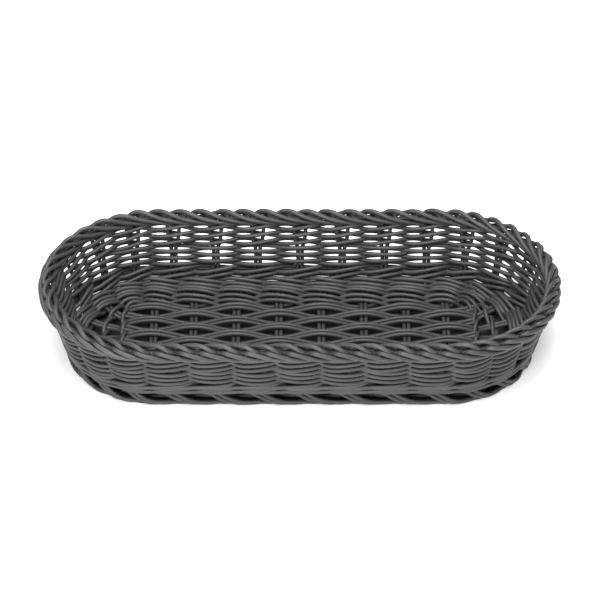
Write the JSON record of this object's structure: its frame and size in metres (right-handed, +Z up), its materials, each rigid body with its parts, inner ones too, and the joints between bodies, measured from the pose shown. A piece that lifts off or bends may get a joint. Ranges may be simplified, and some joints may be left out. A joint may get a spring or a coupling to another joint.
{
  "type": "oval bread basket",
  "caption": "Low oval hand-woven resin bread basket with flared walls, a plain-woven floor and a rolled strand border.",
  "frame": {"origin": "bottom centre: the middle of the flat ring that the basket stands on", "axes": "+X along the basket's length, -Y the long side nearest the viewer, +Z up out of the open top"},
  "size_m": [0.3996, 0.1818, 0.0696],
  "materials": {
    "stake": "extruded resin strand, soft sheen",
    "floor_strand": "extruded resin strand, soft sheen",
    "wall_strand": "extruded resin strand, soft sheen",
    "border_strand": "extruded resin strand, soft sheen"
  },
  "bodies": {
    "root": {"cross_stake_1": "stake", "cross_stake_2": "stake", "cross_stake_3": "stake", "cross_stake_4": "stake", "cross_stake_5": "stake", "cross_stake_6": "stake", "cross_stake_7": "stake", "cross_stake_8": "stake", "right_stake_1": "stake", "right_stake_2": "stake", "right_stake_3": "stake", "right_stake_4": "stake", "right_stake_5": "stake", "right_stake_6": "stake", "right_stake_7": "stake", "left_stake_1": "stake", "left_stake_2": "stake", "left_stake_3": "stake", "left_stake_4": "stake", "left_stake_5": "stake", "left_stake_6": "stake", "left_stake_7": "stake", "foot_strands": "stake", "floor_weaver_1": "floor_strand", "floor_weaver_2": "floor_strand", "floor_weaver_3": "floor_strand", "floor_weaver_4": "floor_strand", "floor_weaver_5": "floor_strand", "floor_weaver_6": "floor_strand", "floor_weaver_7": "floor_strand", "floor_weaver_8": "floor_strand", "floor_weaver_9": "floor_strand", "floor_weaver_10": "floor_strand", "floor_ring_upper": "floor_strand", "floor_ring_lower": "floor_strand", "foot_core": "wall_strand", "lower_wale_inner": "wall_strand", "lower_wale_outer": "wall_strand", "plain_weave_inner": "wall_strand", "plain_weave_outer": "wall_strand", "top_wale_inner": "wall_strand", "top_wale_outer": "wall_strand", "border_core": "border_strand", "border_strands": "border_strand"}
  },
  "joints": []
}
